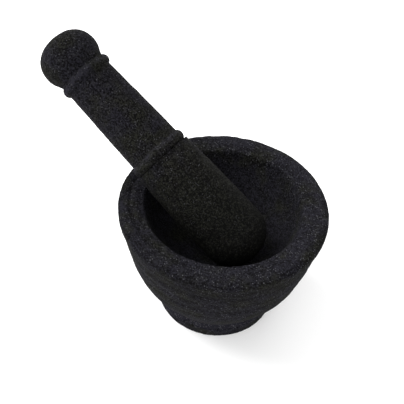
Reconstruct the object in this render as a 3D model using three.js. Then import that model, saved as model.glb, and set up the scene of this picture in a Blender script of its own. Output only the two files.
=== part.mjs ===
// Molcajete: a stone mortar on a ring foot, with its stone pestle (tejolote) leaning in the bowl.
// Units are millimetres and +Z is up. The origin is the centre of the mortar's base, and the
// pestle leans towards -X. Each piece is carved from one block, so each is one turned solid.
import * as THREE from "three";

// ------------------------------------------------------------ mortar: driving dimensions
const MORTAR_HEIGHT = 101.5;
const MORTAR_SEGMENTS = 72;

const FOOT_RADIUS = 47;
const FOOT_EDGE_HEIGHT = 8;
const FOOT_EDGE_ROUNDING = 1;
const WAIST_RADIUS = 44.6;
const WAIST_HEIGHT = 11.8;

// The body's outer wall is one Bezier curve from the waist to the under side of the lip.
const BODY_LOW_PULL = [68.2, 51.6];
const BODY_HIGH_PULL = [64, 39.4];
const BODY_TOP_RADIUS = 74;
const BODY_STEPS = 10;

const LIP_RADIUS = 75;
const LIP_BAND_HEIGHT = 8;
const LIP_CREASE_HEIGHT = 1.5;
const LIP_ROUNDING = 2.6;
const LIP_STEPS = 4;
const GROOVE_RADIUS = 65.6;
const GROOVE_HALF_WIDTH = 1.4;
const GROOVE_DEPTH = 0.6;
const MOUTH_RADIUS = 57.4;
const MOUTH_ROUNDING = 1.5;

// The bowl is half a superellipse: rounder than a cone, with a fuller floor than a ball.
const BOWL_DEPTH = 42;
const BOWL_FULLNESS = 2.5;
const BOWL_STEPS = 14;

// ------------------------------------------------------------ pestle: driving dimensions
const PESTLE_LEAN = THREE.MathUtils.degToRad(57.8);
const LOW_BEAD_CENTRE = [-52.3, -7.5, 125];
const PESTLE_SEGMENTS = 40;

const HEAD_LENGTH = 100.8;
const HEAD_RADIUS = 24.6;
const HEAD_SHOULDER_RADIUS = 22.6;
const HEAD_END_LENGTH = 21.5;
const HEAD_END_STEPS = 7;
const GRIP_LENGTH = 72.3;
const GRIP_LOW_RADIUS = 20;
const GRIP_HIGH_RADIUS = 17.7;

// A bead's outline is an arc that ends this many degrees to either side of its crest.
const BEAD_HALF_WIDTH = 3.4;
const BEAD_HEIGHT = 2.6;
const BEAD_REACH = 80;
const BEAD_STEPS = 6;

// The head's side is a Bezier curve from its widest place, 0 at the low bead, to its shoulder.
const HEAD_LOW_PULL = [24.6, -47.6];
const HEAD_HIGH_PULL = [23.6, -23.8];
const HEAD_STEPS = 5;

// The knob's dome is a superellipse too, so its end is a little squared.
const KNOB_LENGTH = 33.4;
const KNOB_NECK_RADIUS = 17.8;
const KNOB_CHEEK_RADIUS = 20.2;
const KNOB_RADIUS = 21.6;
const KNOB_WIDEST = 15.5;
const KNOB_FULLNESS = 2.25;
const KNOB_STEPS = 8;

const ON_AXIS = 1e-6;

// ------------------------------------------------------------ finishes
const basalt = new THREE.MeshStandardMaterial({ color: 0x2a2a2d, roughness: 0.95, metalness: 0 });
const handledBasalt = new THREE.MeshStandardMaterial({ color: 0x2b2b29, roughness: 0.9, metalness: 0 });

// ------------------------------------------------------------ shape helpers

/** Turns a profile of [radius, height] points, from axis to axis, into a solid along +Z. */
function turnedSolid(profile, segments) {
  const points = profile.map(([radius, height]) => {
    const exactRadius = radius < ON_AXIS ? 0 : radius;
    return new THREE.Vector2(exactRadius, height);
  });
  return new THREE.LatheGeometry(points, segments).rotateX(Math.PI / 2);
}

/** Points on an ellipse round a centre, from one angle to another in degrees. */
function ellipseArc([centreRadius, centreHeight], halfWidth, halfHeight, from, to, steps) {
  return Array.from({ length: steps + 1 }, (_, step) => {
    const angle = THREE.MathUtils.degToRad(THREE.MathUtils.lerp(from, to, step / steps));
    return [
      centreRadius + halfWidth * Math.cos(angle),
      centreHeight + halfHeight * Math.sin(angle),
    ];
  });
}

/**
 * A quarter of a superellipse that starts at its full radius at the given height and ends on
 * the axis, rise above it (or below, if rise is negative). A fullness of 2 is an ellipse.
 */
function domeOutline(radius, height, rise, fullness, steps) {
  const power = 2 / fullness;
  return Array.from({ length: steps + 1 }, (_, step) => {
    const angle = (step / steps) * (Math.PI / 2);
    const cosine = Math.max(Math.cos(angle), 0);
    return [radius * cosine ** power, height + rise * Math.sin(angle) ** power];
  });
}

/** Points on the cubic Bezier curve with the given four control points, both ends included. */
function bezierPoints(corners, steps) {
  const curve = new THREE.CubicBezierCurve(...corners.map((corner) => new THREE.Vector2(...corner)));
  return curve.getPoints(steps).map((point) => [point.x, point.y]);
}

/** A half-round bead raised on a shaft whose radius is given at the bead's centre. */
function bead(shaftRadius, height) {
  const centre = [shaftRadius, height];
  return ellipseArc(centre, BEAD_HEIGHT, BEAD_HALF_WIDTH, -BEAD_REACH, BEAD_REACH, BEAD_STEPS);
}

// ------------------------------------------------------------ pieces

/** The foot's outline: flat base, short upright edge, then a slope in to the waist. */
function footOutline() {
  return [
    [0, 0],
    [FOOT_RADIUS - FOOT_EDGE_ROUNDING, 0],
    [FOOT_RADIUS, FOOT_EDGE_ROUNDING],
    [FOOT_RADIUS, FOOT_EDGE_HEIGHT - FOOT_EDGE_ROUNDING],
    [FOOT_RADIUS - FOOT_EDGE_ROUNDING / 2, FOOT_EDGE_HEIGHT],
  ];
}

/** The body's outer wall, from the waist up to the crease under the lip. */
function bodyOutline() {
  const waist = [WAIST_RADIUS, WAIST_HEIGHT];
  const crease = [BODY_TOP_RADIUS, MORTAR_HEIGHT - LIP_BAND_HEIGHT];
  return bezierPoints([waist, BODY_LOW_PULL, BODY_HIGH_PULL, crease], BODY_STEPS);
}

/** The lip's band and rounded edge, then the flat rim with its shallow turned groove. */
function rimOutline() {
  const edgeCentre = [LIP_RADIUS - LIP_ROUNDING, MORTAR_HEIGHT - LIP_ROUNDING];
  return [
    [LIP_RADIUS, MORTAR_HEIGHT - LIP_BAND_HEIGHT + LIP_CREASE_HEIGHT],
    ...ellipseArc(edgeCentre, LIP_ROUNDING, LIP_ROUNDING, 0, 90, LIP_STEPS),
    [GROOVE_RADIUS + GROOVE_HALF_WIDTH, MORTAR_HEIGHT],
    [GROOVE_RADIUS, MORTAR_HEIGHT - GROOVE_DEPTH],
    [GROOVE_RADIUS - GROOVE_HALF_WIDTH, MORTAR_HEIGHT],
    [MOUTH_RADIUS + MOUTH_ROUNDING, MORTAR_HEIGHT],
  ];
}

/** The bowl's inner wall, from the mouth down to the middle of its floor. */
function bowlOutline() {
  const mouthHeight = MORTAR_HEIGHT - MOUTH_ROUNDING;
  return domeOutline(MOUTH_RADIUS, mouthHeight, -BOWL_DEPTH, BOWL_FULLNESS, BOWL_STEPS);
}

/** The mortar: foot, waist, swelling body, lip and bowl in one turned block. */
function mortar() {
  const profile = [...footOutline(), ...bodyOutline(), ...rimOutline(), ...bowlOutline()];
  const mesh = new THREE.Mesh(turnedSolid(profile, MORTAR_SEGMENTS), basalt);
  mesh.name = "mortar";
  return mesh;
}

/** The grinding head, from its blunt end up to the low bead, whose centre is at height 0. */
function headOutline() {
  const endTop = HEAD_END_LENGTH - HEAD_LENGTH;
  const widest = [HEAD_RADIUS, endTop];
  const shoulder = [HEAD_SHOULDER_RADIUS, -BEAD_HALF_WIDTH];
  const side = bezierPoints([widest, HEAD_LOW_PULL, HEAD_HIGH_PULL, shoulder], HEAD_STEPS);
  return [
    ...ellipseArc([0, endTop], HEAD_RADIUS, HEAD_END_LENGTH, -90, 0, HEAD_END_STEPS),
    ...side.slice(1),
  ];
}

/** The knob above the high bead: a short neck that swells into a blunt dome. */
function knobOutline() {
  const widest = GRIP_LENGTH + KNOB_WIDEST;
  return [
    [KNOB_NECK_RADIUS, GRIP_LENGTH + BEAD_HALF_WIDTH],
    [KNOB_CHEEK_RADIUS, GRIP_LENGTH + KNOB_WIDEST / 2],
    ...domeOutline(KNOB_RADIUS, widest, KNOB_LENGTH - KNOB_WIDEST, KNOB_FULLNESS, KNOB_STEPS),
  ];
}

/** The pestle: grinding head, two turned beads with the tapered grip between, and a knob. */
function pestle() {
  const profile = [
    ...headOutline(),
    ...bead(GRIP_LOW_RADIUS, 0),
    ...bead(GRIP_HIGH_RADIUS, GRIP_LENGTH),
    ...knobOutline(),
  ];
  const mesh = new THREE.Mesh(turnedSolid(profile, PESTLE_SEGMENTS), handledBasalt);
  mesh.name = "pestle";
  mesh.position.set(...LOW_BEAD_CENTRE);
  mesh.rotation.y = -PESTLE_LEAN;
  return mesh;
}

// ------------------------------------------------------------ the whole object
const molcajete = new THREE.Group();
molcajete.add(mortar(), pestle());

export default molcajete;
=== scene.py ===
"""A molcajete: a turned basalt mortar on a round foot, with its beaded stone pestle.

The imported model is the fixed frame. Both of its stones are replaced by finely carved meshes
that follow its outlines closely, worked out with numpy and dressed in a procedural basalt.
Outlines and reliefs are in millimetres. Meshes, lights and the camera are in metres.
"""

import logging
import math
from dataclasses import dataclass, field
from enum import Enum
from typing import Any

import bpy
import numpy as np
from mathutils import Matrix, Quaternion, Vector


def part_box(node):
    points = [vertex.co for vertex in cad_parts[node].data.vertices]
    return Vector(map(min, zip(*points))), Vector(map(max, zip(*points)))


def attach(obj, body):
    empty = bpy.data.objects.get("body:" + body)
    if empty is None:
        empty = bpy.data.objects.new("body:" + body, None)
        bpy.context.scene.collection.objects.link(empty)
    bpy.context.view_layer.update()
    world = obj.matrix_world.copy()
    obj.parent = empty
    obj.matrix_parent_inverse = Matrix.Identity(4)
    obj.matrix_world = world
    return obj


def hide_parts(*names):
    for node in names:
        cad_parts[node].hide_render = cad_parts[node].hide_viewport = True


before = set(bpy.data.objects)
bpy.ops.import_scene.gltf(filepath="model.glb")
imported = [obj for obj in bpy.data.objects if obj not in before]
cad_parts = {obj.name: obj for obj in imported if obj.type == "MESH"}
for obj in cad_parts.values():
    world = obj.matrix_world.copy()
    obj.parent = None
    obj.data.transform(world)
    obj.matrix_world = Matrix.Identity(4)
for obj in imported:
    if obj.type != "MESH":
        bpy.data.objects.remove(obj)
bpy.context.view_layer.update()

MM = 0.001

# Large odd numbers that the hash multiplies by, and the largest number of 32 bits.
AXIS_FACTORS = (73856093, 19349663, 83492791)
SEED_FACTOR = 2654435761
MIXING_FACTORS = (np.uint32(0x7FEB352D), np.uint32(0x846CA68B))
ALL_BITS = 0xFFFFFFFF

# Each layer of noise is read this much further off, so that no two layers line up.
LAYER_SHIFT = 7.3

# Outline points closer together than this are one point. A curve is first drawn with this
# many points, which are then spread evenly.
SAME_POINT = 1e-6
CURVE_POINTS = 400

Array = np.ndarray
Pair = tuple[float, float]
Colour = tuple[float, float, float, float]

WHITE: Colour = (1.0, 1.0, 1.0, 1.0)
log = logging.getLogger("molcajete")


class Slot(Enum):
    """The record's material slots."""

    BASALT = "basalt"
    HANDLED_BASALT = "handled_basalt"


class Mark(Enum):
    """The numbers that each vertex carries for its finish, as named attributes."""

    # How high the fine relief stands: the finish paints its hollows and grooves darker, as shade.
    HOLLOW_SHADE = "hollow_shade"
    # The bands: rubbed stone, with painted light on the mortar's foot slope and rim and painted shade
    # under its lip.
    WEAR_AND_PAINTED_LIGHT = "wear_and_painted_light"
    GROUND = "ground"


class Pattern(Enum):
    """The parts of a relief, each with a number of its own to keep their noises apart."""

    SWAY = 0
    DENTS = 10
    GRAIN = 20
    RINGS = 30
    PORES = 40
    BITES = 50


class Tint(Enum):
    """The casts of the stone, as multiples of its red, green and blue."""

    VIOLET = (1.0, 0.98, 1.17)
    OLIVE = (1.0, 1.01, 0.87)
    PLAIN = (1.0, 1.0, 1.05)


# ---------------------------------------------------------------- noise in space


def hashed(cells: Array, seed: int) -> Array:
    """Gives each whole-number point of a lattice its own fixed number from 0 to 1.

    The three whole numbers are multiplied by large odd numbers and joined by exclusive or.
    Two rounds of shifting and multiplying then spread their bits.

    Args:
        cells: Whole numbers, shape (..., 3).
        seed: Which of many such fields to give.

    Returns:
        One number for each point, shape (...).
    """
    x, y, z = (cells[..., axis].astype(np.int64) * AXIS_FACTORS[axis] for axis in range(3))
    joined = x ^ y ^ z ^ (seed * SEED_FACTOR)
    bits = (joined & ALL_BITS).astype(np.uint32)
    bits = (bits ^ (bits >> np.uint32(16))) * MIXING_FACTORS[0]
    bits = (bits ^ (bits >> np.uint32(15))) * MIXING_FACTORS[1]
    bits = bits ^ (bits >> np.uint32(16))
    return bits / float(ALL_BITS)


def smooth_noise(points: Array, seed: int) -> Array:
    """Noise from -1 to 1 with bumps about one unit across.

    The hashed numbers at a cell's eight corners are blended, with the weight
    6t^5 - 15t^4 + 10t^3 of the place t within the cell along each axis.

    Args:
        points: Places, shape (..., 3).
        seed: Which field to give.

    Returns:
        The noise at each place, shape (...).
    """
    base = np.floor(points)
    t = points - base
    weight = t * t * t * (t * (t * 6 - 15) + 10)
    total = np.zeros(points.shape[:-1])
    for corner in np.ndindex(2, 2, 2):
        share = np.where(np.array(corner) == 1, weight, 1 - weight).prod(axis=-1)
        total += share * hashed(base + corner, seed)
    return total * 2 - 1


def layered_noise(points: Array, width: float, layers: int, seed: int) -> Array:
    """Adds layers of noise, each half as wide and half as strong as the one before.

    Args:
        points: Places in millimetres, shape (..., 3).
        width: Width of the first layer's bumps, in millimetres.
        layers: How many layers to add.
        seed: Which field to give.

    Returns:
        Noise from about -1 to 1, shape (...).
    """
    strengths = 0.5 ** np.arange(layers)
    parts = [
        strength * smooth_noise(points / (width * strength) + LAYER_SHIFT * layer, seed + layer)
        for layer, strength in enumerate(strengths)
    ]
    return np.sum(parts, axis=0) / strengths.sum()


def scattered_pits(points: Array, spacing: float, radii: Pair, share: float, seed: int) -> Array:
    """Round pits at scattered places in space, each deepest at its middle.

    Space is cut into cubes, and each holds one point at a hashed place. A pit of radius r
    round it has the depth (1 - d^2 / r^2)^2 at the distance d. A cube whose hashed number
    is over the share has no pit. The first three fields from the seed place the point, the
    next one sets the radius, and the last one says whether there is a pit.

    Args:
        points: Places in millimetres, shape (..., 3).
        spacing: Side of a cube, in millimetres.
        radii: Smallest and largest radius of a pit, in millimetres.
        share: The part of the cubes that hold a pit.
        seed: Which field to give.

    Returns:
        Depth from 0 to 1 at each place, shape (...).
    """
    scaled = points / spacing
    home = np.floor(scaled)
    depth = np.zeros(points.shape[:-1])
    for offset in np.ndindex(3, 3, 3):
        cell = home + np.array(offset) - 1
        centre = cell + np.stack([hashed(cell, seed + axis) for axis in range(3)], axis=-1)
        distance = np.linalg.norm(scaled - centre, axis=-1) * spacing
        radius = radii[0] + (radii[1] - radii[0]) * hashed(cell, seed + 3) ** 2
        inside = np.clip(1 - (distance / radius) ** 2, 0, 1) ** 2
        depth = np.maximum(depth, inside * (hashed(cell, seed + 4) < share))
    return depth


def ring_places(along: Array, turn: Array, width: float) -> Array:
    """Places for noise that changes with each width along the outline and slowly round it.

    A place is (along / width, cos turn, sin turn).

    Args:
        along: Distance along the outline, shape (rows, 1).
        turn: Angle round the axis in radians, shape (1, columns).
        width: Distance between marks, in millimetres.

    Returns:
        The places, shape (rows, columns, 3).
    """
    return np.stack(np.broadcast_arrays(along / width, np.cos(turn), np.sin(turn)), axis=-1)


def near(values: Array, places: tuple[float, ...], width: float) -> Array:
    """How near each value is to any of some places: 1 there, falling off as a bell curve.

    A bell is e to the power of minus the square of (value - place) / width.

    Args:
        values: Numbers of any shape.
        places: The places.
        width: The distance at which a bell has fallen to about a third.

    Returns:
        Nearness from 0 to 1, with the shape of values.
    """
    bells = [np.exp(-(((values - place) / width) ** 2)) for place in places]
    return np.max(bells, axis=0)


# ---------------------------------------------------------------- outlines


def distances(path: Array) -> Array:
    """How far along a path each of its points is, as a running sum of its steps.

    Args:
        path: Points in order, shape (n, 2).

    Returns:
        Distances from the first point, shape (n,).
    """
    return np.r_[0, np.linalg.norm(np.diff(path, axis=0), axis=1).cumsum()]


def spread_evenly(curve: Array, spacing: float) -> Array:
    """Moves a curve's points so that they lie at equal distances along it.

    Args:
        curve: Closely spaced points, shape (n, 2).
        spacing: The longest step, in millimetres.

    Returns:
        New points with the same ends, shape (m, 2).
    """
    travelled = distances(curve)
    steps = max(1, math.ceil(travelled[-1] / spacing))
    wanted = np.linspace(0, travelled[-1], steps + 1)
    return np.stack([np.interp(wanted, travelled, curve[:, axis]) for axis in (0, 1)], axis=1)


@dataclass
class Outline:
    """A turned stone's outline as (radius, height) points, drawn from axis to axis.

    Attributes:
        points: The points so far in millimetres, shape (n, 2).
        places: Distances along the outline of the places that have a name.
    """

    points: Array = field(default_factory=lambda: np.zeros((0, 2)))
    places: dict[str, float] = field(default_factory=dict)

    def add(self, points: Array) -> "Outline":
        """Adds points to the end, leaving out any that repeats the one before it.

        Args:
            points: Points in order, shape (n, 2).

        Returns:
            The same outline.
        """
        joined = np.concatenate([self.points, points])
        gaps = np.linalg.norm(np.diff(joined, axis=0), axis=1)
        self.points = joined[np.r_[True, gaps > SAME_POINT]]
        return self

    def line(self, end: Pair, spacing: float) -> "Outline":
        """Draws a straight line to a point, as start + t (end - start).

        Args:
            end: The last point.
            spacing: The longest step, in millimetres.

        Returns:
            The same outline.
        """
        start = self.points[-1]
        steps = max(1, math.ceil(math.dist(start, end) / spacing))
        t = np.linspace(0, 1, steps + 1)[:, None]
        return self.add(start + t * (np.array(end) - start))

    def arc(self, centre: Pair, radii: Pair, angles: Pair, spacing: float,
            fullness: float = 2.0) -> "Outline":
        """Draws part of a superellipse: each offset is radius * cos^p or sin^p of the angle.

        The power p is 2 / fullness, so a fullness of 2 draws an ellipse, and a larger one
        a squarer curve. Points are spread evenly along the curve.

        Args:
            centre: The curve's centre.
            radii: Half its width and half its height.
            angles: First and last angle, in degrees.
            spacing: The longest step, in millimetres.
            fullness: How square the curve is.

        Returns:
            The same outline.
        """
        turn = np.radians(np.linspace(*angles, CURVE_POINTS))
        cosine, sine = np.cos(turn), np.sin(turn)
        power = 2 / fullness
        across = centre[0] + radii[0] * np.sign(cosine) * np.abs(cosine) ** power
        up = centre[1] + radii[1] * np.sign(sine) * np.abs(sine) ** power
        return self.add(spread_evenly(np.stack([across, up], axis=1), spacing))

    def bezier(self, low_pull: Pair, high_pull: Pair, end: Pair, spacing: float) -> "Outline":
        """Draws a cubic Bezier curve, (1-t)^3 a + 3(1-t)^2 t b + 3(1-t) t^2 c + t^3 d.

        Args:
            low_pull: The point b that the curve leaves towards.
            high_pull: The point c that it arrives from.
            end: The point d where it ends.
            spacing: The longest step, in millimetres.

        Returns:
            The same outline.
        """
        t = np.linspace(0, 1, CURVE_POINTS)[:, None]
        weights = np.hstack([(1 - t) ** 3, 3 * (1 - t) ** 2 * t, 3 * (1 - t) * t**2, t**3])
        corners = np.stack([self.points[-1], low_pull, high_pull, end])
        return self.add(spread_evenly(weights @ corners, spacing))

    def name_end(self, name: str) -> "Outline":
        """Gives the outline's present end a name."""
        self.places[name] = float(distances(self.points)[-1])
        return self

    def close(self) -> "Outline":
        """Puts the first and last points exactly on the axis."""
        self.points[[0, -1], 0] = 0.0
        return self


# ---------------------------------------------------------------- carved relief


@dataclass(frozen=True)
class Relief:
    """How rough a stone's surface is. Depths and widths are in millimetres.

    Attributes:
        level: Height of the carved surface's middle above the smooth one.
        sway: Depth of the slow unevenness of a shape cut by hand.
        sway_width: Width of that unevenness.
        dressing: Depth of the shallow dents left by the dressing hammer.
        dressing_width: Width of those dents.
        grain: Depth of the sawn-open crystal grain.
        grain_width: Width of the grain.
        rings: Depths of the broad and the fine marks left by turning.
        ring_widths: Distances between those marks.
        pore: Depth of the gas pores.
        pore_spacing: Side of the cube of stone that may hold one pore.
        pore_radii: Smallest and largest radius of a pore.
        pore_share: The part of the cubes that hold a pore.
        chip: Depth of the bites out of hard edges.
        chip_width: Width of those bites.
        chip_bias: Added to the noise that bites, so that more than half of an edge is bitten.
        hollow_shade_span: The lowest and highest number that the fine part may give the finish, which
        paints shade in the hollows from it.
        seed: Which of many such stones this is.
    """

    level: float = -0.2
    sway: float = 0.22
    sway_width: float = 42.0
    dressing: float = 0.14
    dressing_width: float = 7.0
    grain: float = 0.13
    grain_width: float = 2.2
    rings: Pair = (0.1, 0.06)
    ring_widths: Pair = (8.0, 2.6)
    pore: float = 0.6
    pore_spacing: float = 4.6
    pore_radii: Pair = (0.5, 1.3)
    pore_share: float = 0.5
    chip: float = 1.0
    chip_width: float = 6.5
    chip_bias: float = 0.1
    hollow_shade_span: Pair = (-1.5, 1.0)
    seed: int = 11

    def layered(self, pattern: Pattern, points: Array, width: float, layers: int = 2) -> Array:
        """Layered noise of one pattern's own."""
        return layered_noise(points, width, layers, self.seed + pattern.value)

    def turning_marks(self, along: Array, turn: Array) -> Array:
        """Rings left by turning, broad and fine: noise that changes mostly along the outline.

        Args:
            along: Distance along the outline, shape (rows, 1).
            turn: Angle round the axis in radians, shape (1, columns).

        Returns:
            Height in millimetres, shape (rows, columns).
        """
        seed = self.seed + Pattern.RINGS.value
        return sum(
            depth * smooth_noise(ring_places(along, turn, width), seed + order)
            for order, (depth, width) in enumerate(zip(self.rings, self.ring_widths))
        )

    def pores(self, points: Array) -> Array:
        """Gas pores, as scattered pits.

        Args:
            points: Places in millimetres, shape (..., 3).

        Returns:
            Depth in millimetres, shape (...).
        """
        seed = self.seed + Pattern.PORES.value
        pits = scattered_pits(points, self.pore_spacing, self.pore_radii, self.pore_share, seed)
        return self.pore * pits

    def heights(self, points: Array, along: Array, turn: Array, edge: Array) -> tuple[Array, Array]:
        """Height of the carved surface above the smooth one, never above it by much.

        The height is the sum of the slow sway, the dents, the grain and the turning marks,
        less the pores and the chips. Chips bite only where noise is high beside an edge.

        Args:
            points: Places on the smooth surface, shape (rows, columns, 3).
            along: Distance along the outline, shape (rows, 1).
            turn: Angle round the axis in radians, shape (1, columns).
            edge: Nearness to a hard edge, shape (rows, 1).

        Returns:
            The whole height, and its fine part scaled to run from about -1 to 1, which the finish
            paints darker where it is low, as shade in the hollows.
        """
        sway = self.sway * self.layered(Pattern.SWAY, points, self.sway_width)
        dents = self.dressing * self.layered(Pattern.DENTS, points, self.dressing_width)
        grain = self.grain * self.layered(Pattern.GRAIN, points, self.grain_width)
        rings = self.turning_marks(along, turn)
        pores = self.pores(points)
        bites = self.layered(Pattern.BITES, points, self.chip_width, layers=3)
        chips = self.chip * edge * np.clip(bites + self.chip_bias, 0, 1)
        whole = self.level + sway + dents + grain + rings - pores - chips
        # The fine part is what the finish paints darker where low, as shade in grain, rings and pores.
        fine = grain + rings / 2 - pores
        return whole, np.clip(fine / (2 * self.grain), *self.hollow_shade_span)


# ---------------------------------------------------------------- shader expressions


@dataclass(frozen=True)
class Wire:
    """An output of a shader node that can be used in sums."""

    tree: "ShaderTree"
    socket: bpy.types.NodeSocket

    def __add__(self, other: "Wire | float") -> "Wire":
        """This plus other."""
        return self.tree.maths("ADD", self, other)

    def __radd__(self, other: "Wire | float") -> "Wire":
        """Other plus this."""
        return self.tree.maths("ADD", other, self)

    def __sub__(self, other: "Wire | float") -> "Wire":
        """This less other."""
        return self.tree.maths("SUBTRACT", self, other)

    def __rsub__(self, other: "Wire | float") -> "Wire":
        """Other less this."""
        return self.tree.maths("SUBTRACT", other, self)

    def __mul__(self, other: "Wire | float") -> "Wire":
        """This times other."""
        return self.tree.maths("MULTIPLY", self, other)

    def __rmul__(self, other: "Wire | float") -> "Wire":
        """Other times this."""
        return self.tree.maths("MULTIPLY", other, self)


class ShaderTree:
    """A material's node tree, written as Python expressions."""

    def __init__(self, name: str) -> None:
        """Makes an empty material.

        Args:
            name: The material's name.
        """
        self.material = bpy.data.materials.new(name)
        self.material.use_nodes = True
        self.tree = self.material.node_tree
        self.tree.nodes.clear()

    def node(self, kind: str, settings: dict[str, Any], inputs: dict[str, Any]) -> bpy.types.Node:
        """Adds a node, sets it up and fills or links its sockets.

        Args:
            kind: The node's type.
            settings: The node's own properties, which are set first.
            inputs: Values or wires by socket name or identifier.

        Returns:
            The node.
        """
        made = self.tree.nodes.new(kind)
        for key, value in settings.items():
            setattr(made, key, value)
        for key, value in inputs.items():
            socket = next(s for s in made.inputs if key in (s.identifier, s.name))
            if isinstance(value, Wire):
                self.tree.links.new(value.socket, socket)
            else:
                socket.default_value = value
        return made

    def wire(self, made: bpy.types.Node, output: str) -> Wire:
        """The wire of a node's output, by its name or identifier."""
        return Wire(self, next(s for s in made.outputs if output in (s.identifier, s.name)))

    def maths(self, operation: str, first: "Wire | float", second: "Wire | float") -> Wire:
        """Works out two numbers with a Math node.

        Args:
            operation: What the node does with them.
            first: The first number.
            second: The second number.

        Returns:
            The result.
        """
        made = self.node(
            "ShaderNodeMath", {"operation": operation}, {"Value": first, "Value_001": second})
        return self.wire(made, "Value")

    def mix(self, factor: "Wire | float", first: Any, second: Any) -> Wire:
        """Blends two colours.

        Args:
            factor: From 0 for the first colour to 1 for the second.
            first: A colour or the wire of one.
            second: A colour or the wire of one.

        Returns:
            The blended colour.
        """
        made = self.node(
            "ShaderNodeMix", {"data_type": "RGBA", "clamp_factor": True},
            {"Factor_Float": factor, "A_Color": first, "B_Color": second})
        return self.wire(made, "Result_Color")

    def step(self, value: Wire, low: float, high: float) -> Wire:
        """Rises smoothly from 0 to 1, by 3t^2 - 2t^3 of the way t from low to high.

        Args:
            value: The number that rises.
            low: Where the step starts. If it is the larger of the two, the step falls
                from 1 at high to 0 at low.
            high: Where the step ends.

        Returns:
            A number from 0 to 1.
        """
        made = self.node(
            "ShaderNodeMapRange", {"interpolation_type": "SMOOTHSTEP"},
            {"Value": value, "From Min": low, "From Max": high})
        return self.wire(made, "Result")

    def object_place(self) -> Wire:
        """Object coordinates, in metres."""
        return self.wire(self.node("ShaderNodeTexCoord", {}, {}), "Object")

    def mark(self, mark: Mark) -> Wire:
        """One of the numbers that the vertices carry."""
        made = self.node("ShaderNodeAttribute", {"attribute_name": mark.value}, {})
        return self.wire(made, "Fac")

    def noise(self, place: Wire, width: float, detail: float, roughness: float = 0.5) -> Wire:
        """Adds layers of noise, each half as wide as the one before.

        Args:
            place: Where to read the noise.
            width: Width of the first layer's bumps, in millimetres.
            detail: How many finer layers there are.
            roughness: How strong each is beside the one before.

        Returns:
            A number from 0 to 1.
        """
        made = self.node(
            "ShaderNodeTexNoise", {},
            {"Vector": place, "Scale": 1 / (width * MM), "Detail": detail, "Roughness": roughness})
        return self.wire(made, "Fac")

    def warped(self, place: Wire, width: float) -> Wire:
        """Moves a place by noise, from nothing to one width along each axis.

        Args:
            place: The place.
            width: Twice the width of the noise's bumps, in millimetres.

        Returns:
            The moved place.
        """
        noise = self.node("ShaderNodeTexNoise", {}, {"Vector": place, "Scale": 2 / (width * MM)})
        moved = self.node(
            "ShaderNodeVectorMath", {"operation": "MULTIPLY_ADD"},
            {"Vector": self.wire(noise, "Color"), "Vector_001": (width * MM,) * 3, "Vector_002": place})
        return self.wire(moved, "Vector")

    def crystals(self, place: Wire, width: float) -> tuple[Wire, Wire]:
        """Cells about width millimetres across.

        Args:
            place: Where to read the cells.
            width: Their width, in millimetres.

        Returns:
            The distance from the nearest cell's middle, in widths, and the cell's own random
            number from 0 to 1.
        """
        made = self.node("ShaderNodeTexVoronoi", {}, {"Vector": place, "Scale": 1 / (width * MM)})
        parts = self.node("ShaderNodeSeparateColor", {}, {"Color": self.wire(made, "Color")})
        return self.wire(made, "Distance"), self.wire(parts, "Red")

    def shade(self, sockets: dict[str, Any]) -> bpy.types.Material:
        """Ends the material with one Principled shader.

        Args:
            sockets: The shader's values and wires.

        Returns:
            The material.
        """
        shader = self.node("ShaderNodeBsdfPrincipled", {}, sockets)
        self.node("ShaderNodeOutputMaterial", {}, {"Surface": self.wire(shader, "BSDF")})
        return self.material


# ---------------------------------------------------------------- the finish


def stone_grey(level: float, tint: Tint) -> Colour:
    """A dark grey of the stone, taken from the display scale to linear light.

    Up to 0.04045 a display value is divided by 12.92. Past that it has 0.055 added, is
    divided by 1.055 and is raised to the power 2.4.

    Args:
        level: Brightness on the display scale, from 0 to 255.
        tint: Which cast it has.

    Returns:
        The colour in linear light, with an alpha of 1.
    """
    shown = level * np.array(tint.value) / 255
    linear = np.where(shown <= 0.04045, shown / 12.92, ((shown + 0.055) / 1.055) ** 2.4)
    return (*map(float, linear), 1.0)


@dataclass(frozen=True)
class StoneWires:
    """What the finish is worked out from.

    Attributes:
        place: Object coordinates.
        grain: Noise of the grain's width.
        mottle: Noise of the small patches' width.
        patch: Noise of the large patches' width.
        hollow_shade: How high the fine relief stands; its hollows are painted darker as shade.
        wear_and_painted_light: How pale or dark the bands paint the stone: rubbed stone, painted light
            on the foot's
        slope, the rim partly rubbed and partly painted light, and painted shade under the lip.
        ground: How much it is ground by use.
    """

    place: Wire
    grain: Wire
    mottle: Wire
    patch: Wire
    hollow_shade: Wire
    wear_and_painted_light: Wire
    ground: Wire


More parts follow.
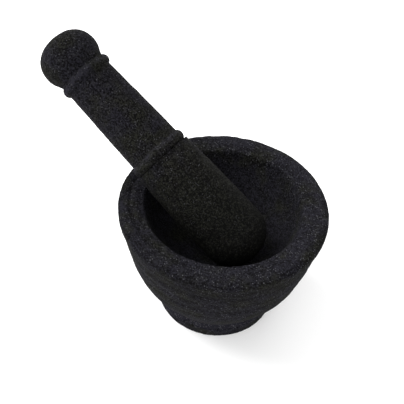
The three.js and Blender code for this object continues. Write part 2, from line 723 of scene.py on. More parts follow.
@dataclass(frozen=True)
class BasaltFinish:
    """Dark basalt with open grain and light crystals.

    Colours are display levels from 0 to 255, and widths are in millimetres. Where an
    attribute is how much one thing adds to another, it is the part of it that is added.

    Attributes:
        name: The material's name.
        dark: Level of the grain's hollows.
        light: Level of the grain's ridges.
        crystal: Level of the light crystals.
        grain_width: Width of the colour grain.
        mottle_width: Width of the small patches.
        patch_width: Width of the large patches.
        gaps_in_wear_and_painted_light: Where in the small patches the bands of rubbing, painted light
            and painted
        shade are absent, and where they are whole.
        tone_span: The heights at which the grain is darkest and lightest.
        tone_hollow_shade: How much the relief adds to the height, which paints its hollows darker as
            shade.
        tone_wear_and_painted_light: How much the bands of rubbing, painted light and painted shade add
            to the height.
        tone_mottle: How much the small patches add to the height.
        ground_dark: How much grinding takes from the height.
        olive: How much of the bare stone is olive, from 0 to 1.
        cast_span: The cast at which the stone starts to be olive, and is wholly so.
        cast_olive: How far the span is lowered on wholly olive stone.
        cast_mottle: How much the small patches add to the cast.
        cast_wear_and_painted_light: How much the bands of rubbing, painted light and painted shade take
            from the cast.
        ground_olive: How much grinding adds to the cast.
        crystal_width: Width of a crystal's cell.
        crystal_share: The part of the cells whose crystal shows.
        crystal_span: The distances from its middle at which a crystal ends and is whole.
        crystal_grain: How much the grain adds to that distance.
        crystal_wear_and_painted_light: How much the bands of rubbing, painted light and painted shade
            add to a cell's number.
        crystal_ground: How much of the crystals grinding hides.
        roughness: Roughness of bare stone.
        ground_roughness: Roughness of ground stone.
        rough_span: How ground the stone is where it is smoothest and roughest.
        rough_grain: How much the grain adds to how ground it is.
        specular: The shader's specular level.
        bump: Height of the finest relief.
        bump_width: Width of the finest relief.
    """

    name: str
    dark: float = 4.5
    light: float = 31.0
    crystal: float = 76.0
    grain_width: float = 1.15
    mottle_width: float = 4.5
    patch_width: float = 17.0
    gaps_in_wear_and_painted_light: Pair = (0.3, 0.6)
    tone_span: Pair = (0.42, 0.76)
    tone_hollow_shade: float = 0.1
    tone_wear_and_painted_light: float = 0.2
    tone_mottle: float = 0.15
    ground_dark: float = 0.0
    olive: float = 0.2
    cast_span: Pair = (0.62, 0.92)
    cast_olive: float = 0.3
    cast_mottle: float = 0.3
    cast_wear_and_painted_light: float = 0.15
    ground_olive: float = 0.0
    crystal_width: float = 0.9
    crystal_share: float = 0.22
    crystal_span: Pair = (0.75, 0.45)
    crystal_grain: float = 0.5
    crystal_wear_and_painted_light: float = 0.15
    crystal_ground: float = 0.75
    roughness: float = 0.95
    ground_roughness: float = 0.8
    rough_span: Pair = (1.1, 0.2)
    rough_grain: float = 0.3
    specular: float = 0.06
    bump: float = 0.35
    bump_width: float = 0.8

    def read(self, tree: ShaderTree) -> StoneWires:
        """Reads the noises and the marks. The bands of rubbing, painted light and painted shade are
        broken up by the small patches.

        Args:
            tree: The material's tree.

        Returns:
            The wires that the finish is worked out from.
        """
        place = tree.object_place()
        grain = tree.noise(place, self.grain_width, detail=2, roughness=0.6)
        mottle = tree.noise(place, self.mottle_width, detail=2)
        patch = tree.noise(place, self.patch_width, detail=3)
        hollow_shade, wear_and_painted_light, ground = (tree.mark(mark) for mark in Mark)
        wear_and_painted_light = wear_and_painted_light * tree.step(mottle, *self.gaps_in_wear_and_painted_light)
        return StoneWires(place, grain, mottle, patch, hollow_shade, wear_and_painted_light, ground)

    def grain_colour(self, tree: ShaderTree, tone: Wire, tint: Tint) -> Wire:
        """The grain in one cast, from dark to light."""
        return tree.mix(tone, stone_grey(self.dark, tint), stone_grey(self.light, tint))

    def bare_colour(self, tree: ShaderTree, stone: StoneWires) -> Wire:
        """Colours the grain by its height, darker in the relief's hollows as painted shade and
        paler or darker by the bands of rubbing, painted light and painted shade. Casts it from
        violet to olive in patches.

        Args:
            tree: The material's tree.
            stone: What the finish is worked out from.

        Returns:
            The colour without crystals.
        """
        # The relief's hollows are painted darker as shade; the bands add rubbed stone, painted light
        # and painted shade.
        height = stone.grain + stone.hollow_shade * self.tone_hollow_shade + stone.wear_and_painted_light * self.tone_wear_and_painted_light
        height = height - stone.ground * self.ground_dark + stone.mottle * self.tone_mottle
        tone = tree.step(height, *self.tone_span)
        start, end = (edge - self.cast_olive * self.olive for edge in self.cast_span)
        cast = stone.patch + stone.mottle * self.cast_mottle
        cast = cast + stone.ground * self.ground_olive - stone.wear_and_painted_light * self.cast_wear_and_painted_light
        violet = self.grain_colour(tree, tone, Tint.VIOLET)
        olive = self.grain_colour(tree, tone, Tint.OLIVE)
        return tree.mix(tree.step(cast, start, end), violet, olive)

    def crystals(self, tree: ShaderTree, stone: StoneWires) -> Wire:
        """Where crystals show: in some cells, near their middles, and less on ground stone.

        Args:
            tree: The material's tree.
            stone: What the finish is worked out from.

        Returns:
            A number from 0 to 1.
        """
        place = tree.warped(stone.place, self.crystal_width)
        distance, chance = tree.crystals(place, self.crystal_width)
        # More pale crystals show where the bands are strong, the bands of painted light among them.
        chosen = tree.step(chance + stone.wear_and_painted_light * self.crystal_wear_and_painted_light, 1 - self.crystal_share, 1.0)
        inside = tree.step(distance + stone.grain * self.crystal_grain, *self.crystal_span)
        return chosen * inside * (1.0 - self.crystal_ground * stone.ground)

    def roughness_of(self, tree: ShaderTree, stone: StoneWires) -> Wire:
        """Smoother where the stone is ground.

        Args:
            tree: The material's tree.
            stone: What the finish is worked out from.

        Returns:
            The roughness.
        """
        rough = tree.step(stone.ground + stone.grain * self.rough_grain, *self.rough_span)
        return self.ground_roughness + rough * (self.roughness - self.ground_roughness)

    def relief(self, tree: ShaderTree, stone: StoneWires) -> Wire:
        """The finest relief, too small for the mesh.

        Args:
            tree: The material's tree.
            stone: What the finish is worked out from.

        Returns:
            The normal.
        """
        finest = tree.noise(stone.place, self.bump_width, detail=3, roughness=0.7)
        made = tree.node(
            "ShaderNodeBump", {},
            {"Strength": 1.0, "Distance": self.bump * MM, "Height": finest + stone.grain})
        return tree.wire(made, "Normal")

    def material(self) -> bpy.types.Material:
        """Builds the material.

        Returns:
            The material, ready to assign.
        """
        tree = ShaderTree(self.name)
        stone = self.read(tree)
        pale = stone_grey(self.crystal, Tint.PLAIN)
        return tree.shade({
            "Base Color": tree.mix(self.crystals(tree, stone), self.bare_colour(tree, stone), pale),
            "Roughness": self.roughness_of(tree, stone),
            "Specular IOR Level": self.specular,
            "Normal": self.relief(tree, stone),
        })


# ---------------------------------------------------------------- the stones


def carried(pairs: Array, turn: Array) -> Array:
    """Carries (radius, height) pairs round the axis: (radius cos turn, radius sin turn, height).

    Args:
        pairs: One pair for each row, shape (rows, 2).
        turn: Angle round the axis in radians, shape (1, columns).

    Returns:
        Places or directions, shape (rows, columns, 3).
    """
    radius, height = pairs[:, :1], pairs[:, 1:]
    return np.stack(np.broadcast_arrays(radius * np.cos(turn), radius * np.sin(turn), height), axis=-1)


def one_pole_each(grid: Array) -> Array:
    """Lists a grid's values by vertex, with one for each of the two rows that are poles.

    Args:
        grid: Values, shape (rows, columns, n).

    Returns:
        The list, shape ((rows - 2) * columns + 2, n).
    """
    return np.concatenate([grid[0, :1], grid[1:-1].reshape(-1, grid.shape[-1]), grid[-1, :1]])


@dataclass(frozen=True)
class Band:
    """A band round a stone that is painted paler or darker. Some bands are rubbed stone,
    some are painted light on a slope or rim, and one is painted shade under the lip.

    Attributes:
        place: The named place on the outline that it is measured from.
        offset: Distance from there to the band's middle, in millimetres.
        width: The distance from its middle at which it has faded to about a third.
        strength: How pale it is, or how dark if it is negative.
    """

    place: str
    offset: float
    width: float
    strength: float


@dataclass
class TurnedStone:
    """A stone turned round an axis, with its surface carved.

    Attributes:
        name: The piece's name.
        node: The CAD node that it replaces, which is also its body's name.
        slot: Its material slot. It is not used.
        finish: Its finish.
        relief: How rough its surface is.
        bands: Its paler and darker bands: rubbed stone, painted light and painted shade.
        columns: Vertices round the axis.
        chip_reach: How far chips reach from a hard edge, in millimetres.
        groove_painted_shade: How much a groove takes from the fine relief that the finish reads, which
        paints the groove darker as shade.
    """

    name: str
    node: str
    slot: Slot
    finish: BasaltFinish
    relief: Relief
    bands: tuple[Band, ...]
    columns: int
    chip_reach: float = 2.0
    groove_painted_shade: float = 0.6

    def outline(self) -> Outline:
        """The stone's outline, from axis to axis."""
        raise NotImplementedError

    def edges(self, outline: Outline) -> tuple[float, ...]:
        """Distances along the outline at which it turns a hard edge."""
        raise NotImplementedError

    def ground(self, outline: Outline, along: Array) -> Array:
        """How much each place along the outline is ground by use, from 0 to 1."""
        raise NotImplementedError

    def grooves(self, outline: Outline, along: Array, turn: Array) -> Array:
        """Depth of the grooves cut by the turner, in millimetres. Here there are none."""
        return np.zeros(1)

    def bounded(self, heights: Array, along: Array) -> Array:
        """Keeps the relief off any face that has to stay true. Here there is none."""
        return heights

    def axes(self) -> tuple[Array, Array]:
        """The turning axis: its start point, and a turn matrix whose columns are its axes."""
        return np.zeros(3), np.eye(3)

    def wear_and_painted_light(self, outline: Outline, along: Array) -> Array:
        """How pale or dark each place is painted, by rubbing, painted light and painted shade: the
        sum of the bands, each a bell curve times its strength.

        Args:
            outline: The stone's outline.
            along: Distance along it, shape (rows, 1).

        Returns:
            Paleness, with the shape of along.
        """
        middles = [outline.places[band.place] + band.offset for band in self.bands]
        return sum(
            band.strength * near(along, (middle,), band.width)
            for band, middle in zip(self.bands, middles)
        )

    def surface(self, outline: Outline) -> tuple[Array, dict[Mark, Array]]:
        """Carves the surface, a function of the distance along and the angle round.

        A place is start + radius * (cos turn * x + sin turn * y) + height * z, moved out
        along the normal by the relief. The outline runs anticlockwise, so its normal is its
        direction turned a quarter to the right.

        Args:
            outline: The stone's outline.

        Returns:
            Places in metres, with the marks for the finish. The first and last rows are the
            two poles.
        """
        path = outline.points
        along = distances(path)[:, None]
        turn = np.linspace(0, 2 * np.pi, self.columns, endpoint=False)[None, :]
        step = np.gradient(path, axis=0)
        step /= np.linalg.norm(step, axis=1)[:, None]
        normal = carried(np.stack([step[:, 1], -step[:, 0]], axis=1), turn)
        normal[0] = (0, 0, -1)
        normal[-1] = (0, 0, 1)
        smooth = carried(path, turn)
        edge = near(along, self.edges(outline), self.chip_reach)
        heights, fine = self.relief.heights(smooth, along, turn, edge)
        grooves = self.grooves(outline, along, turn)
        heights = self.bounded(heights - grooves, along)
        heights[[0, -1]] = heights[[0, -1]].mean(axis=1, keepdims=True)
        carved = smooth + heights[..., None] * normal
        start, turned = self.axes()
        marks = {
            # Grooves and low relief are painted darker as shade; the bands carry rubbing, painted light
            # and painted shade.
            Mark.HOLLOW_SHADE: np.clip(fine - self.groove_painted_shade * grooves, *self.relief.hollow_shade_span),
            Mark.WEAR_AND_PAINTED_LIGHT: np.broadcast_to(self.wear_and_painted_light(outline, along), fine.shape),
            Mark.GROUND: np.broadcast_to(self.ground(outline, along), fine.shape),
        }
        return (start + carved @ turned.T) * MM, marks

    def mesh(self) -> bpy.types.Mesh:
        """Makes the mesh: rings of four-sided faces, closed by a fan round each pole.

        Returns:
            The mesh, with its marks as vertex attributes.
        """
        places, marks = self.surface(self.outline())
        rows, columns = places.shape[:2]
        index = np.arange((rows - 2) * columns).reshape(rows - 2, columns) + 1
        after = np.roll(index, -1, axis=1)
        last = np.full(columns, index[-1, -1] + 1)
        quads = np.stack([index[:-1], after[:-1], after[1:], index[1:]], axis=-1).reshape(-1, 4)
        first_fan = np.stack([np.zeros(columns, int), after[0], index[0]], axis=-1)
        last_fan = np.stack([last, index[-1], after[-1]], axis=-1)
        mesh = bpy.data.meshes.new(self.name)
        faces = [*quads.tolist(), *first_fan.tolist(), *last_fan.tolist()]
        mesh.from_pydata(one_pole_each(places), [], faces)
        for mark, values in marks.items():
            layer = mesh.attributes.new(mark.value, "FLOAT", "POINT")
            values = one_pole_each(values[..., None]).ravel()
            layer.data.foreach_set("value", values.astype(np.float32))
        mesh.shade_smooth()
        mesh.update()
        return mesh

    def dress(self, piece: bpy.types.Object) -> None:
        """Gives a piece its finish."""
        piece.data.materials.append(self.finish.material())

    def build(self) -> bpy.types.Object:
        """Makes the stone and puts it in the frame.

        Returns:
            The finished object.
        """
        mesh = self.mesh()
        piece = bpy.data.objects.new(self.name, mesh)
        bpy.context.scene.collection.objects.link(piece)
        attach(piece, self.node)
        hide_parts(self.node)
        self.dress(piece)
        return piece


@dataclass
class Mortar(TurnedStone):
    """The mortar: a round foot, a waist, a swelling body, a thick lip and the bowl.

    Its lip radius and height come from the frame's box. The rest is in millimetres, and
    angles are in degrees.

    Attributes:
        foot_radius: Radius of the foot.
        foot_edge: Height of the foot's upright edge.
        foot_rounding: Radius of the foot's lower corner, and twice the upper corner's size.
        waist: Where the foot's slope ends and the body starts.
        low_pull: The point that the body's curve leaves towards.
        high_pull: The point that it arrives from.
        crease_radius: Radius of the crease under the lip.
        crease_drop: How far the crease is below the rim.
        crease_rise: Height of the lip's slope above the crease.
        lip_rounding: Width and height of the lip's rounded edge.
        rim_crest: Radius of the highest ring on the rim.
        rim_fall: How far the rim falls from there to the mouth.
        mouth_radius: Radius of the mouth.
        mouth_rounding: Width and height of the mouth's rounded edge.
        mouth_end: The angle at which that rounding meets the bowl.
        bowl_wall_pull: The point that the bowl's curve leaves towards.
        bowl_floor_pull: The point that it arrives from.
        bowl_floor: Height of the bowl's floor.
        rim_groove_radius: Mean radius of the groove on the rim.
        rim_groove_stray: How far it strays in and out.
        rim_groove_lag: How far round its straying is turned from its deepest place.
        rim_groove_depth: Its greatest depth.
        rim_groove_width: How far from its middle it has faded to about a third.
        rim_groove_turn: Where it is deepest, as an angle round the axis.
        wall_grooves: Distances of the wall's grooves above the waist.
        wall_groove_depth: Their depth.
        wall_groove_width: How far from their middles they have faded to about a third.
        wall_groove_fading: Their mean depth as a part of that, and how far it varies.
        wall_groove_fade_width: How far apart the places are where they fade.
        wall_groove_seed: Which noise they fade by.
        foot_groove_depth: Depth of the groove round the top of the foot's edge.
        foot_groove_width: How far from its middle it has faded to about a third.
        base_end: Radius of the part of the base that is drawn coarsely.
        base_spacing: The longest step there.
        fine_spacing: The longest step on the rim.
        wall_spacing: The longest step on the body and in the bowl.
        ground_fade: How far past the mouth, along the outline, the bowl is wholly ground.
    """

    name: str = "mortar_stone"
    node: str = "mortar"
    slot: Slot = Slot.BASALT
    finish: BasaltFinish = BasaltFinish("basalt")
    relief: Relief = Relief(level=-0.14, rings=(0.16, 0.11))
    bands: tuple[Band, ...] = (
        Band("foot_low", 0.0, 3.0, 0.5),
        Band("foot_high", -3.0, 2.5, 0.5),
        # Painted light: the foot's upward slope, shaded by the body above it, is painted much paler, as
        # if lit.
        Band("waist", -1.6, 2.6, 4.0),
        # Painted shade: the wall just under the lip's crease is painted darker.
        Band("crease", -5.0, 7.0, -0.35),
        # The rim is painted paler: partly rubbed stone, partly painted light on its up-facing top.
        Band("rim", 2.0, 5.0, 0.25),
        Band("mouth", 0.0, 3.0, 0.2),
    )
    columns: int = 416
    foot_radius: float = 47.0
    foot_edge: float = 8.8
    foot_rounding: float = 1.4
    waist: Pair = (44.6, 11.8)
    low_pull: Pair = (68.2, 51.6)
    high_pull: Pair = (64.0, 39.4)
    crease_radius: float = 74.3
    crease_drop: float = 8.0
    crease_rise: float = 1.5
    lip_rounding: Pair = (5.5, 2.6)
    rim_crest: float = 67.5
    rim_fall: float = 1.0
    mouth_radius: float = 55.3
    mouth_rounding: Pair = (3.0, 5.0)
    mouth_end: float = 155.0
    bowl_wall_pull: Pair = (49.0, 74.0)
    bowl_floor_pull: Pair = (34.0, 57.6)
    bowl_floor: float = 57.6
    rim_groove_radius: float = 65.0
    rim_groove_stray: float = 3.2
    rim_groove_lag: float = 20.0
    rim_groove_depth: float = 1.2
    rim_groove_width: float = 1.7
    rim_groove_turn: float = -140.0
    wall_grooves: tuple[float, ...] = (47.2, 58.2, 68.2, 78.7)
    wall_groove_depth: float = 0.5
    wall_groove_width: float = 2.6
    wall_groove_fading: Pair = (0.6, 0.4)
    wall_groove_fade_width: float = 30.0
    wall_groove_seed: int = 5
    foot_groove_depth: float = 0.3
    foot_groove_width: float = 0.7
    base_end: float = 44.0
    base_spacing: float = 4.0
    fine_spacing: float = 0.8
    wall_spacing: float = 1.2
    ground_fade: float = 30.0

    def outline(self) -> Outline:
        """The outline, from the middle of the base to the middle of the bowl.

        Straight lines draw the flat base, the foot's edge and its slope. A Bezier curve is
        the body. Lines and quarter ellipses are the lip and the rim, which falls a little to
        the mouth, and part of an ellipse and a Bezier curve are the bowl.

        Returns:
            The outline, with its places named.
        """
        low, high = (np.array(corner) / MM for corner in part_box(self.node))
        lip = (high[0] - low[0]) / 2
        top = high[2]
        fine = self.fine_spacing
        drawn = Outline(np.zeros((1, 2)))
        self.draw_foot(drawn, fine / 2)
        crease = (self.crease_radius, top - self.crease_drop)
        drawn.bezier(self.low_pull, self.high_pull, crease, self.wall_spacing).name_end("crease")
        drawn.line((lip, crease[1] + self.crease_rise), fine)
        width, height = self.lip_rounding
        drawn.line((lip, top - height), fine)
        drawn.arc((lip - width, top - height), (width, height), (0, 45), fine).name_end("lip")
        drawn.arc((lip - width, top - height), (width, height), (45, 90), fine).name_end("rim")
        drawn.line((self.rim_crest, top), fine)
        width, height = self.mouth_rounding
        inner = top - self.rim_fall
        drawn.line((self.mouth_radius + width, inner), fine).name_end("mouth")
        centre = (self.mouth_radius + width, inner - height)
        drawn.arc(centre, (width, height), (90, self.mouth_end), fine / 2).name_end("bowl")
        floor = (0.0, self.bowl_floor)
        drawn.bezier(self.bowl_wall_pull, self.bowl_floor_pull, floor, self.wall_spacing)
        return drawn.close()

    def draw_foot(self, drawn: Outline, spacing: float) -> None:
        """Draws the flat base and the foot, up to the waist.

        Args:
            drawn: The outline to draw them on.
            spacing: The longest step on the foot's edge and slope.
        """
        rounding = self.foot_rounding
        inner = self.foot_radius - rounding
        drawn.line((self.base_end, 0), self.base_spacing)
        drawn.line((inner, 0), self.fine_spacing).name_end("foot_low")
        drawn.arc((inner, rounding), (rounding, rounding), (-90, 0), spacing)
        drawn.line((self.foot_radius, self.foot_edge - rounding / 2), spacing)
        drawn.line((self.foot_radius - rounding / 2, self.foot_edge), spacing).name_end("foot_high")
        drawn.line(self.waist, spacing).name_end("waist")

    def edges(self, outline: Outline) -> tuple[float, ...]:
        """The foot's two edges and its slope, the lip and the mouth."""
        names = ("foot_low", "foot_high", "waist", "lip", "mouth")
        return tuple(outline.places[name] for name in names)

    def rim_groove(self, outline: Outline, along: Array, turn: Array) -> Array:
        """The groove on the rim, a bell curve across its middle.

        It strays in and out by a sine of the angle, and fades away on the far side by the
        square of (1 + cosine) / 2.

        Args:
            outline: The mortar's outline.
            along: Distance along it, shape (rows, 1).
            turn: Angle round the axis in radians, shape (1, columns).

        Returns:
            Depth in millimetres, shape (rows, columns).
        """
        rim = outline.places["rim"]
        rim_radius = self.mouth_radius + self.mouth_rounding[0] + outline.places["mouth"] - rim
        turned = turn - math.radians(self.rim_groove_turn)
        stray = self.rim_groove_stray * np.sin(turned - math.radians(self.rim_groove_lag))
        middle = rim + rim_radius - (self.rim_groove_radius - stray)
        kept = ((1 + np.cos(turned)) / 2) ** 2
        return self.rim_groove_depth * kept * np.exp(-(((along - middle) / self.rim_groove_width) ** 2))

    def grooves(self, outline: Outline, along: Array, turn: Array) -> Array:
        """Grooves on the rim, on the wall and on top of the foot's edge.

        The wall's grooves are bell curves whose depth varies by noise round the mortar.

        Args:
            outline: The mortar's outline.
            along: Distance along it, shape (rows, 1).
            turn: Angle round the axis in radians, shape (1, columns).

        Returns:
            Depth in millimetres, shape (rows, columns).
        """
        rim = self.rim_groove(outline, along, turn)
        mean, varied = self.wall_groove_fading
        places = ring_places(along, turn, self.wall_groove_fade_width)
        fading = mean + varied * smooth_noise(places, self.wall_groove_seed)
        middles = tuple(outline.places["waist"] + distance for distance in self.wall_grooves)
        wall = self.wall_groove_depth * fading * near(along, middles, self.wall_groove_width)
        foot_high = (outline.places["foot_high"],)
        foot = self.foot_groove_depth * near(along, foot_high, self.foot_groove_width)
        return rim + wall + foot

    def ground(self, outline: Outline, along: Array) -> Array:
        """The bowl is ground, more towards its floor: the part of the outline past the mouth."""
        return np.clip((along - outline.places["bowl"]) / self.ground_fade, 0, 1)

    def bounded(self, heights: Array, along: Array) -> Array:
        """Flattens the base, so that the foot stands on the surface all round."""
        kept = np.clip((along - self.foot_radius + self.foot_rounding) / self.foot_rounding, 0, 1)
        return heights * kept


@dataclass
class Pestle(TurnedStone):
    """The pestle: a blunt grinding head, two beads with a tapered grip between, and a knob.

    Heights are measured from the low bead's centre along the pestle, in millimetres, and
    angles are in degrees.

    Attributes:
        lean: How far the pestle leans from upright.
        low_bead: The low bead's centre in the frame.
        head_length: From the grinding end to the low bead.
        head_radius: The head's greatest radius.
        head_end: Length of the head's rounded end.
        head_low_pull: The point that the head's side leaves towards.
        head_high_pull: The point that it arrives from.
        shoulder_radius: The head's radius under the low bead.
        grip_length: From the low bead to the high one.
        grip_low: The grip's radius at the low bead.
        grip_high: The grip's radius at the high bead.
        grip_flare: How much wider the grip is just under the high bead.
        bead_height: How far a bead stands out.
        bead_half_width: Half a bead's width.
        bead_reach: How far an outline of a bead goes either way from its crest.
        low_bead_skirt: Width of the low bead's half on the head's side.
        low_bead_rub: Where the low bead is rubbed, above its crest.
        knob_length: From the high bead to the knob's end.
        knob_neck: The knob's radius above the high bead.
        knob_neck_pull: From there to the point that the knob's cheek leaves towards.
        knob_cheek_pull: How far below the knob's widest place the cheek arrives from.
        knob_radius: The knob's greatest radius.
        knob_widest: Where that is, above the high bead.
        knob_fullness: How square the knob's end is.
        spacing: The longest step along the outline.
        ground_reach: Where ground stone ends along the outline, in lengths of the head.
    """

    name: str = "pestle_stone"
    node: str = "pestle"
    slot: Slot = Slot.HANDLED_BASALT
    finish: BasaltFinish = BasaltFinish(
        "handled_basalt", light=31.5, crystal=66.0, ground_dark=0.12, olive=0.35, ground_olive=0.4)
    relief: Relief = Relief(chip=1.4, chip_width=4.5, seed=211)
    bands: tuple[Band, ...] = (
        Band("low_bead", 0.0, 2.0, 0.8),
        Band("high_bead", 0.0, 2.0, 0.8),
    )
    columns: int = 240
    lean: float = 57.8
    low_bead: tuple[float, float, float] = (-52.3, -7.5, 125.0)
    head_length: float = 100.8
    head_radius: float = 24.6
    head_end: float = 21.5
    head_low_pull: Pair = (24.6, -47.58)
    head_high_pull: Pair = (23.6, -23.79)
    shoulder_radius: float = 22.6
    grip_length: float = 72.3
    grip_low: float = 20.0
    grip_high: float = 17.7
    grip_flare: float = 0.4
    bead_height: float = 2.6
    bead_half_width: float = 3.4
    bead_reach: float = 80.0
    low_bead_skirt: float = 4.8
    low_bead_rub: float = 40.0
    knob_length: float = 33.4
    knob_neck: float = 17.8
    knob_neck_pull: Pair = (1.5, 4.0)
    knob_cheek_pull: float = 5.0
    knob_radius: float = 21.6
    knob_widest: float = 15.5
    knob_fullness: float = 2.25
    spacing: float = 0.64
    ground_reach: float = 1.25

    def axes(self) -> tuple[Array, Array]:
        """The axis leans towards -X, so the z column is (-sin lean, 0, cos lean).

        Returns:
            The low bead's centre, and a turn matrix whose columns are the pestle's axes.
        """
        lean = math.radians(self.lean)
        across = (math.cos(lean), 0, math.sin(lean))
        up = (-math.sin(lean), 0, math.cos(lean))
        return np.array(self.low_bead), np.array([across, (0, 1, 0), up]).T

    def outline(self) -> Outline:
        """The outline, from the grinding end to the top of the knob.

        A quarter ellipse and a Bezier curve are the head. Each bead is part of an ellipse,
        with a straight line for the grip between. A Bezier curve is the knob's cheek, and a
        quarter of a superellipse is its end.

        Returns:
            The outline, with its places named.
        """
        drawn = Outline()
        end_top = self.head_end - self.head_length
        drawn.arc((0, end_top), (self.head_radius, self.head_end), (-90, 0), self.spacing)
        shoulder = (self.shoulder_radius, -self.low_bead_skirt)
        drawn.bezier(self.head_low_pull, self.head_high_pull, shoulder, self.spacing)
        self.draw_beads(drawn, self.spacing / 2)
        self.draw_knob(drawn)
        return drawn.close()

    def draw_beads(self, drawn: Outline, spacing: float) -> None:
        """Draws the low bead, the grip and the high bead.

        Args:
            drawn: The outline to draw them on.
            spacing: The longest step on the beads.
        """
        reach, rub = self.bead_reach, self.low_bead_rub
        radii = (self.bead_height, self.bead_half_width)
        centre = (self.grip_low, 0)
        drawn.arc(centre, (self.bead_height, self.low_bead_skirt), (-reach, 0), spacing)
        drawn.arc(centre, radii, (0, rub), spacing).name_end("low_bead")
        drawn.arc(centre, radii, (rub, reach), spacing)
        grip_end = self.grip_length - self.bead_half_width
        drawn.line((self.grip_high + self.grip_flare, grip_end), self.spacing)
        centre = (self.grip_high, self.grip_length)
        drawn.arc(centre, radii, (-reach, 0), spacing).name_end("high_bead")
        drawn.arc(centre, radii, (0, reach), spacing)

    def draw_knob(self, drawn: Outline) -> None:
        """Draws the knob, from its neck to its end.

        Args:
            drawn: The outline to draw it on.
        """
        neck = (self.knob_neck, self.grip_length + self.bead_half_width)
        drawn.line(neck, self.spacing / 2)
        across, up = self.knob_neck_pull
        widest = self.grip_length + self.knob_widest
        cheek = (self.knob_radius, widest - self.knob_cheek_pull)
        end = (self.knob_radius, widest)
        drawn.bezier((neck[0] + across, neck[1] + up), cheek, end, self.spacing)
        radii = (self.knob_radius, self.knob_length - self.knob_widest)
        drawn.arc((0, widest), radii, (0, 90), self.spacing, self.knob_fullness)

    def edges(self, outline: Outline) -> tuple[float, ...]:
        """The crest of the high bead, and the low bead a little above its crest."""
        return tuple(outline.places.values())

    def ground(self, outline: Outline, along: Array) -> Array:
        """The head is ground by use, fading out towards the low bead."""
        return np.clip(self.ground_reach - along / self.head_length, 0, 1)


# ---------------------------------------------------------------- studio


def direction(azimuth: float, elevation: float) -> Vector:
    """The direction (sin a cos e, -cos a cos e, sin e) from the object to an onlooker.

    Args:
        azimuth: The angle a, in degrees. 0 is on the -Y side and 90 on the +X side.
        elevation: The angle e above the horizon, in degrees.

    Returns:
        The unit vector.
    """
    a, e = math.radians(azimuth), math.radians(elevation)
    return Vector((math.sin(a) * math.cos(e), -math.cos(a) * math.cos(e), math.sin(e)))


def stand(thing: bpy.types.Object, target: Vector, back: Vector, distance: float) -> Quaternion:
    """Stands a lamp or camera off a target and faces it, level.

    Args:
        thing: The lamp or camera.
        target: What it faces.
        back: The direction from the target to it.
        distance: Its distance from the target, in metres.

    Returns:
        The rotation that faces the target.
    """
    facing = (-back).to_track_quat("-Z", "Y")
    thing.location = target + back * distance
    thing.rotation_mode = "QUATERNION"
    thing.rotation_quaternion = facing
    bpy.context.scene.collection.objects.link(thing)
    return facing


@dataclass(frozen=True)
class Lamp:
    """A square soft light that faces the object.

    Attributes:
        name: The lamp's name.
        azimuth: Where it stands, in degrees.
        elevation: Its height as an angle, in degrees.
        power: Its power, in watts.
        distance: Its distance, in metres.
        size: Its side, in metres.
    """

    name: str
    azimuth: float
    elevation: float
    power: float
    distance: float = 2.4
    size: float = 1.6

    def place(self, target: Vector) -> bpy.types.Object:
        """Makes the lamp and aims it at a point.

        Args:
            target: The point.

        Returns:
            The lamp.
        """
        data = bpy.data.lights.new(self.name, "AREA")
        data.shape = "SQUARE"
        data.size = self.size
        data.energy = self.power
        lamp = bpy.data.objects.new(self.name, data)
        stand(lamp, target, direction(self.azimuth, self.elevation), self.distance)
        return lamp


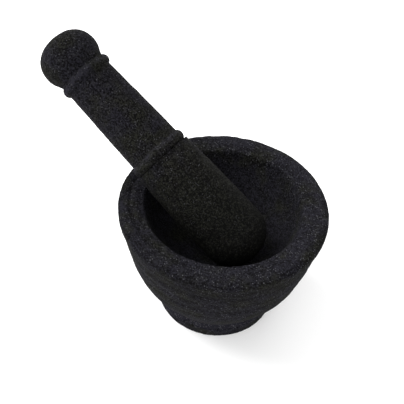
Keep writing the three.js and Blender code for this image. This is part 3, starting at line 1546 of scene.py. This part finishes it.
@dataclass
class Studio:
    """A pale floor, soft lamps and the camera. Lengths are in metres, angles in degrees.

    Attributes:
        azimuth: Where the camera stands.
        elevation: The camera's height as an angle.
        roll: How far the camera is turned about its own axis.
        distance: From the camera to the point that it aims at.
        aim: That point, measured from the middle of the mortar's rim.
        lens: Focal length, in millimetres.
        sensor: Width of the camera's sensor, in millimetres.
        nearest: The nearest that the camera sees.
        floor_half: Half the floor's side.
        floor_white: How much light the floor gives back.
        floor_glow: How strongly it is lit from below.
        sky_light: How strong the light from all round is.
        lamps: The lamps.
    """

    azimuth: float = 30.5
    elevation: float = 45.73
    roll: float = 4.02
    distance: float = 0.4363
    aim: tuple[float, float, float] = (-0.0134, -0.0079, -0.0022)
    lens: float = 54.7
    sensor: float = 36.0
    nearest: float = 0.01
    floor_half: float = 4.0
    floor_white: float = 0.86
    floor_glow: float = 0.16
    sky_light: float = 1.0
    lamps: tuple[Lamp, ...] = (
        Lamp("key", -80, 45, 67.0),
        Lamp("front", 20, 42, 16.0),
        Lamp("back", 205, 15, 14.0),
    )

    def build(self) -> None:
        """Makes the floor, the light and the camera round the mortar."""
        low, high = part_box("mortar")
        rim = Vector(((low.x + high.x) / 2, (low.y + high.y) / 2, high.z))
        self.floor(low.z)
        self.sky()
        for lamp in self.lamps:
            lamp.place(rim)
            log.info("lamp %s", lamp.name)
        self.camera(rim + Vector(self.aim))
        bpy.context.scene.view_settings.view_transform = "Standard"

    def floor(self, height: float) -> bpy.types.Object:
        """Makes the floor: a lit white sheet, as in a light box.

        Args:
            height: Its height.

        Returns:
            The floor.
        """
        half = self.floor_half
        sides = ((-half, -half), (half, -half), (half, half), (-half, half))
        mesh = bpy.data.meshes.new("floor")
        mesh.from_pydata([(x, y, height) for x, y in sides], [], [(0, 1, 2, 3)])
        mesh.materials.append(ShaderTree("white_sheet").shade({
            "Base Color": (self.floor_white, self.floor_white, self.floor_white, 1),
            "Roughness": 0.9,
            "Specular IOR Level": 0.1,
            "Emission Color": WHITE,
            "Emission Strength": self.floor_glow,
        }))
        sheet = bpy.data.objects.new("floor", mesh)
        bpy.context.scene.collection.objects.link(sheet)
        return sheet

    def sky(self) -> None:
        """Surrounds the scene with even white light."""
        world = bpy.data.worlds.new("light_box")
        world.use_nodes = True
        background = next(n for n in world.node_tree.nodes if n.type == "BACKGROUND")
        background.inputs["Color"].default_value = WHITE
        background.inputs["Strength"].default_value = self.sky_light
        bpy.context.scene.world = world

    def camera(self, target: Vector) -> bpy.types.Object:
        """Makes the camera, aimed at a point, and makes it the scene's camera.

        Args:
            target: The point.

        Returns:
            The camera.
        """
        data = bpy.data.cameras.new("camera")
        data.sensor_width = self.sensor
        data.lens = self.lens
        data.clip_start = self.nearest
        camera = bpy.data.objects.new("camera", data)
        facing = stand(camera, target, direction(self.azimuth, self.elevation), self.distance)
        roll = Quaternion((0, 0, 1), math.radians(self.roll))
        camera.rotation_quaternion = facing @ roll
        bpy.context.scene.camera = camera
        return camera


# ---------------------------------------------------------------- the whole object


def main() -> None:
    """Builds the two stones and the studio in order, and reports each stone."""
    logging.basicConfig(level=logging.INFO, format="%(name)s: %(message)s")
    for stone in (Mortar(), Pestle()):
        mesh = stone.build().data
        log.info("%s: %d triangles", stone.name, len(mesh.loops) - 2 * len(mesh.polygons))
    Studio().build()


if __name__ == "__main__":
    main()
